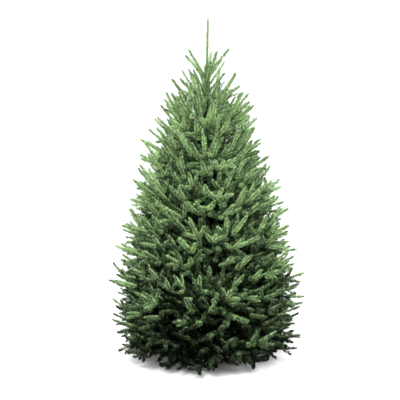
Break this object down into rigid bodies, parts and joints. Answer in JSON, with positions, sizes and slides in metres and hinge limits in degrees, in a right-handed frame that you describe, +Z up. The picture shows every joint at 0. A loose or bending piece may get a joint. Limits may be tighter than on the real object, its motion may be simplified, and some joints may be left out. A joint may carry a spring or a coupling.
{
  "type": "christmas tree",
  "caption": "Cut conical conifer with dense tiers of needle foliage and a bare leader, standing in a plain steel screw stand.",
  "frame": {"origin": "middle of the stand pot's flat underside, on the floor under the trunk", "axes": "+Z up along the trunk; +X and +Y level, through two of the stand's legs"},
  "size_m": [1.2013, 1.2085, 2.0941],
  "materials": {
    "bark": "matte bark",
    "needles": "matte needles",
    "steel": "satin paint",
    "zinc": "zinc plated"
  },
  "bodies": {
    "root": {"trunk": "bark", "leader": "needles", "bough_1_1": "bark", "foliage_1_1": "needles", "bough_1_2": "bark", "foliage_1_2": "needles", "bough_1_3": "bark", "foliage_1_3": "needles", "bough_1_4": "bark", "foliage_1_4": "needles", "bough_1_5": "bark", "foliage_1_5": "needles", "bough_2_1": "bark", "foliage_2_1": "needles", "bough_2_2": "bark", "foliage_2_2": "needles", "bough_2_3": "bark", "foliage_2_3": "needles", "bough_2_4": "bark", "foliage_2_4": "needles", "bough_2_5": "bark", "foliage_2_5": "needles", "bough_3_1": "bark", "foliage_3_1": "needles", "bough_3_2": "bark", "foliage_3_2": "needles", "bough_3_3": "bark", "foliage_3_3": "needles", "bough_3_4": "bark", "foliage_3_4": "needles", "bough_3_5": "bark", "foliage_3_5": "needles", "foliage_4_1": "needles", "foliage_4_2": "needles", "foliage_4_3": "needles", "foliage_4_4": "needles", "foliage_4_5": "needles", "foliage_5_1": "needles", "foliage_5_2": "needles", "foliage_5_3": "needles", "foliage_5_4": "needles", "foliage_6_1": "needles", "foliage_6_2": "needles", "foliage_6_3": "needles", "foliage_6_4": "needles", "foliage_7_1": "needles", "foliage_7_2": "needles", "foliage_7_3": "needles", "foliage_8_1": "needles", "foliage_8_2": "needles", "foliage_8_3": "needles", "stand_pot": "steel", "stand_leg_1": "steel", "stand_leg_2": "steel", "stand_leg_3": "steel", "stand_leg_4": "steel", "stand_screw_1": "zinc", "stand_screw_2": "zinc", "stand_screw_3": "zinc", "stand_screw_4": "zinc"}
  },
  "joints": []
}
